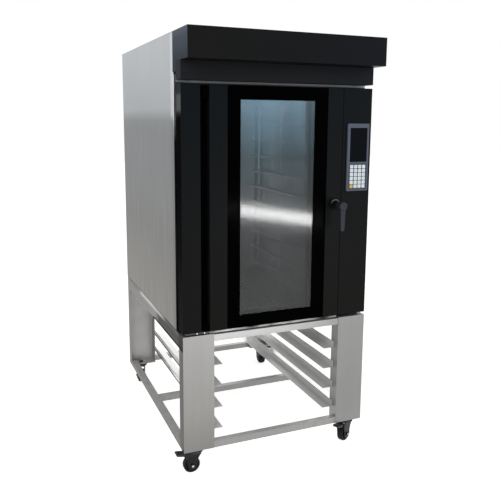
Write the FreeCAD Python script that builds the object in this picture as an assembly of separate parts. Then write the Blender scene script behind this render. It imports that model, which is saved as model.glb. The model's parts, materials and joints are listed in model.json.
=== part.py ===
# Electric convection oven with a ten-level chamber on a wheeled runner stand.
# Millimetres. Building frame: X right, Y to the back with 0 on the front panels, Z up from the floor.
# The export moves everything so that the origin is the middle of the footprint.
import math
import os

import FreeCAD
import Part

V = FreeCAD.Vector

# Overall
half_w = 450.0            # half width over the side panels
depth = 1139.0            # front panels to the back panel
total_top = 1908.0        # top of the casing and hood
body_floor = 638.0        # where the oven rests on the stand
sheet = 2.0               # casing sheet
plate_t, base_t = 3.0, 4.0            # front plate behind the boxes, and base plate

# Clearances
run_fit = 0.05            # radial, shaft in its bore
rub_gap = 0.3             # between faces that slide past each other
pane_gap = 0.5            # glass edge to rebate
door_gap = 2.0            # door edge to the panels beside and above it
over = 1.0                # how far a cut runs past the face it opens

# Front, from the top down
hood_h, hood_out = 121.0, 100.0
fascia_h, fascia_out = 76.0, 4.0
slot_h = 15.0             # open slot under the fascia
panel_deep = 63.0         # front boxes, front to the front plate
side_front, side_flange = 102.0, 14.0 # where the stainless sides begin, and their front return
hood_bottom = total_top - hood_h
fascia_bottom = hood_bottom - fascia_h
panel_top = fascia_bottom - slot_h
panel_bottom = body_floor + 14.0
cheek_bottom = hood_bottom - 42.0     # hood cheeks lap over the sides down to here
cheek_back = side_front + 10.0
gutter_y, gutter_t = 8.0, 1.5         # drip gutter under the door

# Front divisions along X
left_panel_w, stripe_w, control_w = 83.0, 39.0, 147.0
left_panel_r = -half_w + left_panel_w
door_l = left_panel_r + stripe_w
control_l = half_w - control_w
door_r = control_l - door_gap

# Door
door_t, door_skin = 60.0, 3.0         # thickness, and wall of the box-section stiles and rails
door_z0, door_z1 = panel_bottom, panel_top - door_gap
stile_l, stile_r = 79.0, 76.0
pane_x0, pane_x1 = door_l + stile_l, door_r - stile_r
pane_t, pane_set = 5.4, 0.6           # thickness, and how far it sits behind the stiles
sight_x0, sight_x1 = pane_x0 + 57.0, pane_x1 - 67.0
sight_z0, sight_z1 = door_z0 + 57.0, door_z1 - 58.0
inner_t, inner_lap, inner_rise = 5.0, 22.0, 20.0
inner_y = door_t - 8.0
hinge_d, hinge_cap = 12.0, 20.0
hinge_x, hinge_y = door_l - 16.0, 13.0
ear_h, hinge_leaf, leaf_w = 30.0, 6.0, 22.0
hinge_drop = 20.0         # upper hinge, below the top of the door
ear_low, ear_high = door_z0 + 2.0, door_z1 - hinge_drop - ear_h
leaf_low, leaf_high = door_z0 - 1.0, ear_high + ear_h + 1.0
hinge_plate_l = -half_w + 12.0        # lower hinge plate, under the left panel
post_w, post_y = 17.0, 30.0           # dark post behind the hinges: half width, and its front
spindle_d = 16.0
spindle_x, spindle_z = door_r - 33.0, (door_z0 + door_z1) / 2.0 + 5.0
lever_long, lever_front, lever_t, head_d = 112.0, -84.0, 15.0, 38.0
rose_d, rose_neck, rose_t, neck_end = 48.0, 32.0, 10.0, 26.0
tongue_y0, tongue_y1, tongue_w, tongue_up = 29.0, 41.0, 22.0, 46.0
tongue_slot = (tongue_y0 - 3.0, tongue_y1 + 3.0, spindle_z - 18.0, spindle_z + 40.0)
seal_y0, seal_in, seal_out = 54.0, 8.0, 24.0

# Chamber
mouth_x0, mouth_x1 = door_l + 52.0, door_r - 57.0
mouth_z0, mouth_z1 = door_z0 + 38.0, door_z1 - 44.0
mouth_h = mouth_z1 - mouth_z0
mouth_lip, mouth_sill = 40.0, 30.0    # flange round the mouth
mid_x = (mouth_x0 + mouth_x1) / 2.0
chamber_y0, chamber_y1 = panel_deep + plate_t, depth - 209.0
wool_t, wool_side = 55.0, 62.0
wool_back = chamber_y1 + wool_t
fan_z = (mouth_z0 + mouth_h / 4.0, mouth_z1 - mouth_h / 4.0)
fan_r = mouth_h / 6.0
fan_front, fan_back, fan_blades = chamber_y1 - 108.0, chamber_y1 - 46.0, 12
blade_r, blade_bow, blade_t, blade_lean = 0.4125 * fan_r, 16.0, 2.5, 24.0
fan_rim = 22.0            # width of the ring across the blade tips
hub_d, shaft_d, shaft_end = 64.0, 20.0, wool_back + 65.0
motor_d, motor_long, motor_lip = 132.0, 132.0, 14.0
motor_foot, motor_cap = 6.0, 24.0
neck_d = 60.0             # motor neck through the wool
baffle_y, baffle_eye = chamber_y1 - 132.0, 2.0 * fan_r - 84.0
post_d, post_in, post_end = 16.0, 42.0, 36.0   # baffle standoffs, and their place in the chamber
baffle_side, baffle_end = 30.0, 22.0
heater_r, heater_d, heater_post, heater_gap = fan_r + 35.0, 11.0, 14.0, 12.0
heater_y = (chamber_y1 - 84.0, chamber_y1 - 52.0)
rack_y0, rack_y1 = chamber_y0 + 84.0, baffle_y - 26.0
rack_posts = (rack_y0 + 30.0, (rack_y0 + rack_y1) / 2.0 - 1.0, rack_y1 - 32.0)
rack_levels, rack_z0 = 10, mouth_z0 + 78.0
rack_off, rack_post, ledge_w, lip_h = 30.0, 4.0, 36.0, 8.0
rack_pitch = (mouth_z1 - 117.0 - rack_z0) / (rack_levels - 1)
vent_x, vent_y, vent_d, vent_up = mid_x - 104.0, chamber_y1 - 230.0, 50.0, 30.0
cable_x, cable_z, cable_d = half_w - 90.0, body_floor + 122.0, 32.0

# Controller
bez_x0, bez_x1 = control_l + 22.0, half_w - 14.0
bez_up, bez_h = 58.0, 304.0           # above the spindle, and its height
bez_z0, bez_z1 = spindle_z + bez_up, spindle_z + bez_up + bez_h
bez_out, bez_floor = 8.0, 4.0         # rim and recess floor ahead of the panel
bez_deep, bez_lip, bez_hide = 38.0, 9.0, 15.0   # box behind the panel, and the rim that laps over its hole
screen_x0, screen_x1 = bez_x0 + 12.5, bez_x1 - 9.0
screen_z0, screen_z1 = bez_z0 + 132.0, bez_z1 - 19.0
pad_x0, pad_x1 = bez_x0 + bez_lip, bez_x1 - bez_lip
pad_z0, pad_z1 = bez_z0 + 7.0, screen_z0 - 7.0
key_cols, key_rows = 4, 6
key_dx, key_dz = (pad_x1 - pad_x0 - 8.7) / key_cols, (pad_z1 - pad_z0 - 11.2) / key_rows
key_w, key_h = key_dx - 5.4, key_dz - 2.7
key_front, key_stem, stem_end, key_travel = -9.4, 6.0, 9.0, 1.0

# Stand
leg_w, leg_d, leg_t = 141.0, 60.0, 3.0
leg_z0, foot_t = 108.0, 5.0           # underside of the legs, and their bottom plate
stand_back = depth - 9.0
tube, tube_t, tube_in = 30.0, 2.0, 2.0
side_rail_h = 66.0        # taller tubes along the sides, under the oven
front_rail_z = body_floor - 34.0
mid_tube_y = stand_back / 2.0 - 27.0
drain_d = 8.0
runner_z0, runner_pitch, runner_count = leg_z0 + 71.0, 100.0, 4
runner_w, runner_end, runner_up = 53.0, 36.0, 30.0

# Casters
wheel_d, wheel_w, trail = 75.0, 28.0, 20.0
cheek_out, cheek_t = 22.0, 4.0        # outer face of the fork's cheeks, and their thickness
axle_d, king_d, king_head = 10.0, 12.0, 22.0
caster_x = half_w - 62.0
caster_y = (32.0, stand_back - 32.0)
caster_spots = {
    "front_left": (-caster_x, caster_y[0], 180.0),
    "front_right": (caster_x, caster_y[0], 208.0),
    "rear_left": (-caster_x, caster_y[1], 250.0),
    "rear_right": (caster_x, caster_y[1], 272.0),
}
brake_x, brake_z, brake_pin = trail + 18.0, 88.0, 6.0
brake_tip = brake_x + 55.5

# The left front pedal is the only piece past the sides
shift = V((caster_x + brake_tip - half_w) / 2.0, -(depth - hood_out) / 2.0, 0.0)


def box(x0, x1, y0, y1, z0, z1):
    return Part.makeBox(x1 - x0, y1 - y0, z1 - z0, V(x0, y0, z0))


def rod(x, y, z, d, length, axis):
    return Part.makeCylinder(d / 2.0, length, V(x, y, z), axis)


def rod_y(x, z, d, y0, y1):
    return rod(x, y0, z, d, y1 - y0, V(0, 1, 0))


def rod_z(x, y, d, z0, z1):
    return rod(x, y, z0, d, z1 - z0, V(0, 0, 1))


def join(shapes):
    return shapes[0].multiFuse(shapes[1:]).removeSplitter() if len(shapes) > 1 else shapes[0]


def prism(points, y0, y1):
    # Outline in X and Z, pushed along Y.
    wire = Part.makePolygon([V(x, y0, z) for x, z in points + points[:1]])
    return Part.Face(wire).extrude(V(0, y1 - y0, 0))


def soften(shape, pick, r):
    edges = [e for e in shape.Edges if pick(e)]
    return shape.makeFillet(r, edges) if edges else shape


def through(e):
    d = e.Vertexes[-1].Point - e.Vertexes[0].Point
    return len(e.Vertexes) == 2 and abs(d.x) < 1e-6 and abs(d.z) < 1e-6


def save(name, shapes):
    shapes = shapes if isinstance(shapes, list) else [shapes]
    moved = []
    for s in shapes:
        c = s.copy()
        c.translate(shift)
        moved.append(c)
    out = moved[0] if len(moved) == 1 else Part.makeCompound(moved)
    out.exportStep("parts/" + name + ".step")


def front_box(x0, x1, y0, z0, z1, open_top=False):
    # Folded sheet tray standing on the front plate, open at the back.
    inner = box(x0 + sheet, x1 - sheet, y0 + sheet, panel_deep + 1, z0 + sheet,
                z1 + 1 if open_top else z1 - sheet)
    return box(x0, x1, y0, panel_deep, z0, z1).cut(inner)


def chassis():
    base = box(-half_w + sheet, half_w - sheet, panel_deep, depth - sheet, body_floor, body_floor + base_t)
    parts = [base]
    for s in (-1, 1):
        x = s * (half_w - sheet)
        parts.append(box(min(x, x - s * sheet), max(x, x - s * sheet), side_front + 4 * sheet, depth - sheet,
                         body_floor + base_t, body_floor + 24))
        x = s * (half_w - 10)
        parts.append(box(min(x, x - s * sheet), max(x, x - s * sheet), panel_deep, side_front,
                         body_floor + base_t, hood_bottom))
    plate = box(-half_w, half_w, panel_deep, panel_deep + plate_t, body_floor, hood_bottom)
    parts.append(plate)
    # Drip gutter under the door
    parts.append(box(door_l, door_r, gutter_y, panel_deep, body_floor + 2, body_floor + 2 + gutter_t))
    parts.append(box(door_l, door_r, gutter_y, gutter_y + gutter_t, body_floor + 2, panel_bottom - 3))
    body = join(parts)
    body = body.cut(box(mouth_x0, mouth_x1, panel_deep - 1, panel_deep + plate_t + 1, mouth_z0, mouth_z1))
    wire_x, wire_z = (bez_x0 + bez_x1) / 2.0, (bez_z0 + bez_z1) / 2.0
    return body.cut(rod_y(wire_x, wire_z, 40, panel_deep - 1, panel_deep + plate_t + 1))


def side_panel(s):
    x0, x1 = (half_w - sheet, half_w) if s > 0 else (-half_w, -half_w + sheet)
    f0, f1 = (half_w - side_flange, half_w) if s > 0 else (-half_w, -half_w + side_flange)
    wall = box(x0, x1, side_front, depth, body_floor + 2, total_top - sheet)
    flange = box(f0, f1, side_front, side_front + sheet, body_floor + base_t, cheek_bottom)
    notch = box(f0 - 1, f1 + 1, side_front - 1, cheek_back, cheek_bottom, total_top)
    return join([wall, flange]).cut(notch)


def back_panel():
    p = box(-half_w + sheet, half_w - sheet, depth - sheet, depth, body_floor + 2, total_top - sheet)
    slots = []
    for zc in fan_z:
        for i in range(9):
            z = zc - 80 + 20 * i
            slots.append(box(mid_x - 90, mid_x + 90, depth - sheet - 1, depth + 1, z - 3, z + 3))
    p = p.cut(Part.makeCompound(slots))
    return p.cut(rod_y(cable_x, cable_z, cable_d, depth - sheet - 1, depth + 1))


def top_panel():
    p = box(-half_w, half_w, cheek_back, depth, total_top - sheet, total_top)
    p = join([p, rod_z(vent_x, vent_y, vent_d, mouth_z1 + sheet, total_top + vent_up)])
    return p.cut(rod_z(vent_x, vent_y, vent_d - 2 * sheet, mouth_z1, total_top + vent_up + 1))


def hood():
    outer = box(-half_w, half_w, -hood_out, cheek_back, hood_bottom, total_top)
    inner = box(-half_w + sheet, half_w - sheet, -hood_out + sheet, cheek_back + 1, hood_bottom + sheet,
                total_top - sheet)
    h = outer.cut(inner)
    cheeks = [box(x, x + sheet, panel_deep + plate_t, cheek_back, cheek_bottom, hood_bottom + sheet)
              for x in (-half_w, half_w - sheet)]
    vent = box(-half_w + sheet, half_w - sheet, panel_deep + plate_t, cheek_back + 1, hood_bottom - 1,
               hood_bottom + sheet + 1)
    return join([h.cut(vent)] + cheeks)


def fascia():
    return front_box(-half_w, half_w, -fascia_out, fascia_bottom, hood_bottom, open_top=True)


def left_front_panel():
    return front_box(-half_w, left_panel_r, 0.0, panel_bottom, panel_top)


def control_panel():
    p = front_box(control_l, half_w, 0.0, panel_bottom, panel_top)
    p = p.cut(box(pad_x0, pad_x1, -over, sheet + over, bez_z0 + bez_hide, bez_z1 - bez_hide))
    # Slot that the latch tongue swings into
    return p.cut(box(control_l - over, control_l + sheet + over, *tongue_slot))


def liner_block():
    return box(mouth_x0 - sheet, mouth_x1 + sheet, chamber_y0, chamber_y1 + sheet, mouth_z0 - sheet,
               mouth_z1 + sheet)


def chamber_liner():
    # Folded sheets welded along their edges: four walls, the back, and the flange round the mouth
    x0, x1, z0, z1 = mouth_x0 - sheet, mouth_x1 + sheet, mouth_z0 - sheet, mouth_z1 + sheet
    y0, y1 = chamber_y0 + sheet, chamber_y1
    roof = box(x0, x1, y0, y1, mouth_z1, z1)
    roof = roof.cut(rod_z(vent_x, vent_y, vent_d - 2 * sheet, mouth_z1 - over, z1 + over))
    back = box(x0, x1, y1, y1 + sheet, z0, z1)
    for z in fan_z:
        back = back.cut(rod_y(mid_x, z, shaft_d + 8, y1 - over, y1 + sheet + over))
        for x, zt in heater_feet(z):
            back = back.cut(rod_y(x, zt, heater_post + 1, y1 - over, y1 + sheet + over))
    left, right = mouth_x0 - mouth_lip, mouth_x1 + mouth_lip
    low, high = mouth_z0 - mouth_sill, mouth_z1 + mouth_lip
    return [
        box(x0, x1, y0, y1, z0, mouth_z0), roof, back,
        box(x0, mouth_x0, y0, y1, mouth_z0, mouth_z1), box(mouth_x1, x1, y0, y1, mouth_z0, mouth_z1),
        box(left, mouth_x0, chamber_y0, y0, low, high), box(mouth_x1, right, chamber_y0, y0, low, high),
        box(mouth_x0, mouth_x1, chamber_y0, y0, low, mouth_z0),
        box(mouth_x0, mouth_x1, chamber_y0, y0, mouth_z1, high),
    ]


def insulation():
    outer = box(mouth_x0 - wool_side, mouth_x1 + wool_side, chamber_y0 + sheet, wool_back, body_floor + base_t,
                mouth_z1 + wool_side)
    body = outer.cut(liner_block())
    cuts = [rod_z(vent_x, vent_y, vent_d + 0.4, mouth_z1, mouth_z1 + wool_side + 1)]
    for z in fan_z:
        cuts.append(rod_y(mid_x, z, neck_d + 0.4, chamber_y1, wool_back + 1))
        for x, zt in heater_feet(z):
            cuts.append(rod_y(x, zt, heater_post + 2, chamber_y1, wool_back + 1))
    return body.cut(Part.makeCompound(cuts))


def heater_feet(zc):
    a = math.radians(heater_gap / 2.0)
    x = mid_x + heater_r * math.cos(a)
    return [(x, zc - heater_r * math.sin(a)), (x, zc + heater_r * math.sin(a))]


def heater(zc):
    # Two open rings round the fan, carried by two posts that pass through the back wall.
    (x, z0), (x, z1) = heater_feet(zc)
    parts = [box(x - 14, x + 14, chamber_y1 - 3, chamber_y1, z0 - 14, z1 + 14)]
    for z in (z0, z1):
        parts.append(rod_y(x, z, heater_post, heater_y[0] - 9, wool_back + 25))
    for y in heater_y:
        eight = [math.radians(45.0 * i + 22.5) for i in range(9)]
        ring = Part.Face(Part.makePolygon([V(mid_x + heater_r + heater_d / 2.0 * math.cos(a),
                                             y + heater_d / 2.0 * math.sin(a), zc) for a in eight]))
        ring = ring.revolve(V(mid_x, y, zc), V(0, 1, 0), 360.0 - heater_gap)
        ring.rotate(V(mid_x, y, zc), V(0, 1, 0), heater_gap / 2.0)
        parts.append(ring)
    return join(parts)


def fan(zc):
    # Backward-curved blades welded between the back plate, turned with its hub and shaft, and a front ring
    core = join([rod_y(mid_x, zc, shaft_d, fan_front + 4, shaft_end),
                 rod_y(mid_x, zc, hub_d, fan_front, fan_back),
                 rod_y(mid_x, zc, 2 * fan_r, fan_back, fan_back + 3)])
    ring = rod_y(mid_x, zc, 2 * fan_r, fan_front - blade_t, fan_front)
    ring = ring.cut(rod_y(mid_x, zc, 2 * (fan_r - fan_rim), fan_front - 2 * blade_t, fan_front + over))
    mid_r = (blade_r + fan_r) / 2.0
    bow = Part.Arc(V(mid_x + blade_r, fan_front, zc), V(mid_x + mid_r, fan_front, zc + blade_bow),
                   V(mid_x + fan_r - 4, fan_front, zc)).toShape()
    strip = bow.extrude(V(0, 0, -blade_t)).extrude(V(0, fan_back - fan_front, 0))
    strip.rotate(V(mid_x + mid_r, 0, zc), V(0, 1, 0), blade_lean)
    parts = [core, ring]
    for i in range(fan_blades):
        blade = strip.copy()
        blade.rotate(V(mid_x, 0, zc), V(0, 1, 0), 360.0 / fan_blades * i)
        parts.append(blade)
    return parts


def fan_motor(zc):
    parts = [
        rod_y(mid_x, zc, neck_d, chamber_y1 + sheet, wool_back),
        rod_y(mid_x, zc, motor_d + 2 * motor_lip, wool_back, wool_back + motor_foot),
        rod_y(mid_x, zc, motor_d, wool_back + motor_foot, wool_back + motor_long - motor_cap),
        rod_y(mid_x, zc, motor_d - 16, wool_back + motor_long - motor_cap, wool_back + motor_long),
        box(mid_x - motor_d / 4.0, mid_x + motor_d / 4.0, wool_back + motor_long / 6.0,
            wool_back + 0.7 * motor_long, zc + 0.42 * motor_d, zc + 0.67 * motor_d),
    ]
    body = join(parts)
    body = body.cut(rod_y(mid_x, zc, 30, chamber_y1, wool_back + motor_foot))
    return body.cut(rod_y(mid_x, zc, shaft_d + 2 * run_fit, wool_back, shaft_end + 5))


def fan_baffle():
    # Plate with an eye before each fan, on six standoffs from the back wall
    plate = box(mouth_x0 + baffle_side, mouth_x1 - baffle_side, baffle_y, baffle_y + sheet,
                mouth_z0 + baffle_end, mouth_z1 - baffle_end)
    for z in fan_z:
        plate = plate.cut(rod_y(mid_x, z, baffle_eye, baffle_y - over, baffle_y + sheet + over))
    posts = [rod_y(x, z, post_d, baffle_y + sheet, chamber_y1)
             for x in (mouth_x0 + post_in, mouth_x1 - post_in)
             for z in (mouth_z0 + post_end, (fan_z[0] + fan_z[1]) / 2.0, mouth_z1 - post_end)]
    return [plate] + posts


def tray_rack(s):
    # s is +1 for the right wall and -1 for the left wall.
    wall = (mouth_x1 - mouth_x0) / 2.0
    post0, post1 = wall - rack_off, wall - rack_off + rack_post
    ledge0 = post0 - ledge_w

    def span(a, b, *rest):
        x0, x1 = mid_x + s * a, mid_x + s * b
        return box(min(x0, x1), max(x0, x1), *rest)

    parts = []
    for y in rack_posts:
        post = [span(post0, post1, y - 10, y + 10, mouth_z0, mouth_z1 - 20)]
        for z in (mouth_z0 + 60, mouth_z1 - 60):
            post.append(span(post1, wall, y - 5, y + 5, z - 5, z + 5))
        parts.append(join(post))
    for i in range(rack_levels):
        z = rack_z0 + rack_pitch * i
        ledge = span(ledge0, post0, rack_y0, rack_y1, z, z + sheet)
        lip = span(ledge0, ledge0 + sheet, rack_y0, rack_y1, z - lip_h, z)
        parts.append(join([ledge, lip]))
    return parts


def door_frame():
    d = box(door_l, door_r, 0, door_t, door_z0, door_z1)
    d = soften(d, through, 3.0)
    # Box-section stiles and rails, open towards the space between the panes
    skin, pane_back = door_skin, pane_set + pane_t
    hollow = box(door_l + skin, door_r - skin, pane_back + skin, inner_y - 2, door_z0 + skin, door_z1 - skin)
    d = d.cut(hollow)
    for x0, x1 in ((door_l + skin, pane_x0 - skin), (pane_x1 + skin, door_r - skin)):
        d = d.cut(box(x0, x1, skin, pane_back + skin + over, door_z0 + skin, door_z1 - skin))
    ears = [box(hinge_x - leaf_w / 2.0, door_l + skin, hinge_y - leaf_w / 2.0, hinge_y + leaf_w / 2.0, z0,
                z0 + ear_h) for z0 in (ear_low, ear_high)]
    d = join([d] + ears)
    cuts = [
        box(sight_x0 + 2, sight_x1 - 2, -1, door_t + 1, sight_z0 + 2, sight_z1 - 2),
        box(pane_x0, pane_x1, -over, pane_back, door_z0 - over, door_z1 + over),
        box(sight_x0 - inner_lap, sight_x1 + inner_lap, inner_y, door_t + over, sight_z0 - inner_rise,
            sight_z1 + inner_rise),
        rod_z(hinge_x, hinge_y, hinge_d + 2 * run_fit, door_z0 - over, ear_low + ear_h - 4),
        rod_z(hinge_x, hinge_y, hinge_d + 2 * run_fit, ear_high + 4, leaf_high),
        rod_y(spindle_x, spindle_z, spindle_d + 2 * run_fit, -over, pane_back + 2 * skin),
        box(door_r - skin - over, door_r + over, *tongue_slot),
        seal_ring(seal_y0, door_t + 1),
    ]
    for c in cuts:
        d = d.cut(c)
    return d


def seal_ring(y0, y1):
    outer = box(mouth_x0 - seal_out, mouth_x1 + seal_out, y0, y1, mouth_z0 - seal_out, mouth_z1 + seal_out)
    return outer.cut(box(mouth_x0 - seal_in, mouth_x1 + seal_in, y0 - over, y1 + over,
                         mouth_z0 - seal_in, mouth_z1 + seal_in))


def door_glass():
    outer = box(pane_x0 + pane_gap, pane_x1 - pane_gap, pane_set, pane_set + pane_t,
                door_z0 + pane_gap, door_z1 - pane_gap)
    inner = box(sight_x0 - inner_lap + pane_gap, sight_x1 + inner_lap - pane_gap, inner_y, inner_y + inner_t,
                sight_z0 - inner_rise + pane_gap, sight_z1 + inner_rise - pane_gap)
    return [outer, inner]


def handle_rose():
    r = join([rod_y(spindle_x, spindle_z, rose_d, -rose_t, 0),
              rod_y(spindle_x, spindle_z, rose_neck, -neck_end, -rose_t)])
    return r.cut(rod_y(spindle_x, spindle_z, spindle_d + 2 * run_fit, -neck_end - over, over))


def handle_lever():
    arm_y0, arm_y1 = lever_front + 4, lever_front + 4 + lever_t
    tip_d, low = head_d / 2.0, spindle_z - lever_long + head_d / 4.0
    head = rod_y(spindle_x, spindle_z, head_d, lever_front, lever_front + 24)
    shaft = rod_y(spindle_x, spindle_z, spindle_d, arm_y1, tongue_y1)
    arm = prism([(spindle_x - 13, spindle_z), (spindle_x + 13, spindle_z),
                 (spindle_x + tip_d / 2.0, low), (spindle_x - tip_d / 2.0, low)], arm_y0, arm_y1)
    tip = rod_y(spindle_x, low, tip_d, arm_y0, arm_y1)
    tongue = box(spindle_x - tongue_w / 2.0, spindle_x + tongue_w / 2.0, tongue_y0, tongue_y1,
                 spindle_z - tongue_w / 2.0, spindle_z + tongue_up)
    grip = join([head, arm, tip])
    rim = [e for e in grip.Edges if all(abs(v.Y - lever_front) < 1e-6 for v in e.Vertexes)]
    grip = grip.makeFillet(3.0, rim)
    return join([grip, shaft, tongue])


def door_fittings():
    # Lower hinge plate, upper hinge leaf on the dark post between them, both with pins, and the latch keeper
    low = join([box(hinge_plate_l, hinge_x + 14, 2, panel_deep, leaf_low - hinge_leaf, leaf_low),
                rod_z(hinge_x, hinge_y, hinge_d, leaf_low - 1, ear_low + ear_h - 6),
                rod_z(hinge_x, hinge_y, hinge_cap, leaf_low - hinge_leaf - 4, leaf_low - hinge_leaf + 1)])
    leaf_top = leaf_high + hinge_leaf
    high = join([box(hinge_x - leaf_w / 2.0, hinge_x + leaf_w / 2.0, hinge_y, post_y + 1, leaf_high, leaf_top),
                 rod_z(hinge_x, hinge_y, leaf_w, leaf_high, leaf_top),
                 rod_z(hinge_x, hinge_y, hinge_d, ear_high + 6, leaf_high + 1),
                 rod_z(hinge_x, hinge_y, hinge_cap, leaf_top - 1, leaf_top + 4),
                 box(hinge_x - 4 - post_w, hinge_x - 4 + post_w, post_y, panel_deep, door_z0, door_z1)])
    keeper = box(control_l + sheet, control_l + sheet + 16, tongue_y0 - 17, tongue_y0 - 3,
                 spindle_z - 26, spindle_z + 26)
    return [low, high, keeper]


def controller_bezel():
    face = box(bez_x0, bez_x1, -bez_out, 0, bez_z0, bez_z1)
    face = soften(face, through, 5.0)
    body = box(pad_x0 + pane_gap, pad_x1 - pane_gap, -over, bez_deep,
               bez_z0 + bez_hide + pane_gap, bez_z1 - bez_hide - pane_gap)
    b = join([face, body])
    b = b.cut(box(screen_x0, screen_x1, -bez_out - over, -bez_floor, screen_z0, screen_z1))
    b = b.cut(box(pad_x0, pad_x1, -bez_out - over, -bez_floor, pad_z0, pad_z1))
    holes = [rod_y(x, z, key_stem + 2 * run_fit, -bez_floor - over, stem_end + key_travel + 2)
             for x, z in key_spots().values()]
    return b.cut(Part.makeCompound(holes))


def key_spots():
    spots = {}
    x0 = (pad_x0 + pad_x1 - key_dx * (key_cols - 1)) / 2.0
    z1 = (pad_z0 + pad_z1 + key_dz * (key_rows - 1)) / 2.0
    for r in range(key_rows):
        for c in range(key_cols):
            spots["key_r%d_c%d" % (r + 1, c + 1)] = (x0 + key_dx * c, z1 - key_dz * r)
    return spots


def key(x, z):
    back = -bez_floor - key_travel - rub_gap
    cap = box(x - key_w / 2, x + key_w / 2, key_front, back, z - key_h / 2, z + key_h / 2)
    cap = soften(cap, through, 2.0)
    return join([cap, rod_y(x, z, key_stem, back - 0.5, stem_end)])


def display():
    return box(screen_x0 + rub_gap, screen_x1 - rub_gap, -bez_out + 1.4, -bez_floor, screen_z0 + rub_gap,
               screen_z1 - rub_gap)


def leg(sx, sy):
    x0, x1 = (half_w - leg_w, half_w) if sx > 0 else (-half_w, -half_w + leg_w)
    y0, y1 = (0.0, leg_d) if sy < 0 else (stand_back - leg_d, stand_back)
    c0, c1 = (y0 + leg_t, y1 + 1) if sy < 0 else (y0 - 1, y1 - leg_t)
    post = box(x0, x1, y0, y1, leg_z0, body_floor)
    post = post.cut(box(x0 + leg_t, x1 - leg_t, c0, c1, leg_z0 + foot_t, body_floor - leg_t))
    return post.cut(rod_z(sx * caster_x, caster_y[0] if sy < 0 else caster_y[1], king_d + 2 * run_fit,
                          leg_z0 - 1, leg_z0 + foot_t + 1))


def tube_x(x0, x1, y0, z0):
    t = box(x0, x1, y0, y0 + tube, z0, z0 + tube)
    t = t.cut(box(x0 + 1, x1 - 1, y0 + tube_t, y0 + tube - tube_t, z0 + tube_t, z0 + tube - tube_t))
    return t.cut(rod_z((x0 + x1) / 2.0, y0 + tube / 2.0, drain_d, z0 - over, z0 + tube_t + over))


def tube_y(x0, y0, y1, z0, h=tube):
    t = box(x0, x0 + tube, y0, y1, z0, z0 + h)
    t = t.cut(box(x0 + tube_t, x0 + tube - tube_t, y0 + 1, y1 - 1, z0 + tube_t, z0 + h - tube_t))
    return t.cut(rod_z(x0 + tube / 2.0, (y0 + y1) / 2.0 - 2 * tube, drain_d, z0 - over, z0 + tube_t + over))


def stand_frame():
    inner = half_w - leg_w
    parts = [leg(sx, sy) for sx in (-1, 1) for sy in (-1, 1)]
    parts.append(tube_x(-inner, inner, tube_in, front_rail_z))
    parts.append(tube_x(-inner, inner, tube_in, leg_z0))
    parts.append(tube_x(-inner, inner, stand_back - tube_in - tube, body_floor - tube))
    parts.append(tube_x(-inner, inner, stand_back - tube_in - tube, leg_z0))
    for x0 in (-half_w, half_w - tube):
        parts.append(tube_y(x0, leg_d, stand_back - leg_d, body_floor - side_rail_h, side_rail_h))
        parts.append(tube_y(x0, leg_d, stand_back - leg_d, leg_z0))
    parts.append(tube_x(-half_w + tube, half_w - tube, mid_tube_y, leg_z0))
    return parts


def runner(s, i):
    # Angle iron with its upright against the legs; s is +1 on the right and -1 on the left
    z = runner_z0 + runner_pitch * i
    wall = half_w - leg_w
    section = [(s * wall, z), (s * (wall - runner_w), z), (s * (wall - runner_w), z + sheet),
               (s * (wall - sheet), z + sheet), (s * (wall - sheet), z + runner_up), (s * wall, z + runner_up)]
    return prism(section, runner_end, stand_back - runner_end)


def place(shape, spot):
    x, y, turn = spot
    shape = shape.copy()
    shape.rotate(V(0, 0, 0), V(0, 0, 1), turn)
    shape.translate(V(x, y, 0))
    return shape


def caster_fork(braked):
    wheel_z = wheel_d / 2.0
    # Swivel housing turned from a profile, king pin with its head, and two curved cheeks
    dome = [(0, 96), (33, 96), (33, 101), (28, 105), (28, leg_z0 - rub_gap), (0, leg_z0 - rub_gap)]
    wire = Part.makePolygon([V(r, 0, z) for r, z in dome + dome[:1]])
    parts = [Part.Face(wire).revolve(V(0, 0, 0), V(0, 0, 1), 360),
             rod_z(0, 0, king_d, 100, leg_z0 + 8),
             rod_z(0, 0, king_head, leg_z0 + foot_t + rub_gap, leg_z0 + foot_t + 6),
             box(-20, 30, -cheek_out, cheek_out, 92, 97)]
    ear = brake_x + 9 if braked else trail + 8

    def line(a, b):
        return Part.makeLine(V(a[0], 0, a[1]), V(b[0], 0, b[1]))

    def bow(a, m, b):
        return Part.Arc(V(a[0], 0, a[1]), V(m[0], 0, m[1]), V(b[0], 0, b[1])).toShape()

    foot = 22.0
    left, low, right = (trail - foot, wheel_z), (trail, wheel_z - foot), (trail + foot, wheel_z)
    edges = [line((-20, 97), (ear, 97)), line((ear, 97), (ear, 82)),
             bow((ear, 82), (trail + foot + 3, 60), right), bow(right, low, left),
             bow(left, (trail - foot - 4, 66), (-20, 88)), line((-20, 88), (-20, 97))]
    cheek = Part.Face(Part.Wire(edges)).extrude(V(0, cheek_t, 0))
    for y in (-cheek_out, cheek_out - cheek_t):
        side = cheek.copy()
        side.translate(V(0, y, 0))
        parts.append(side)
    parts.append(rod_y(trail, wheel_z, axle_d, -cheek_out - 4, cheek_out + 4))
    for y0 in (-cheek_out - 6, cheek_out):
        parts.append(rod_y(trail, wheel_z, 16, y0, y0 + 6))
    if braked:
        parts.append(rod_y(brake_x, brake_z, brake_pin, -cheek_out - 2, cheek_out + 2))
    return join(parts)


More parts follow.
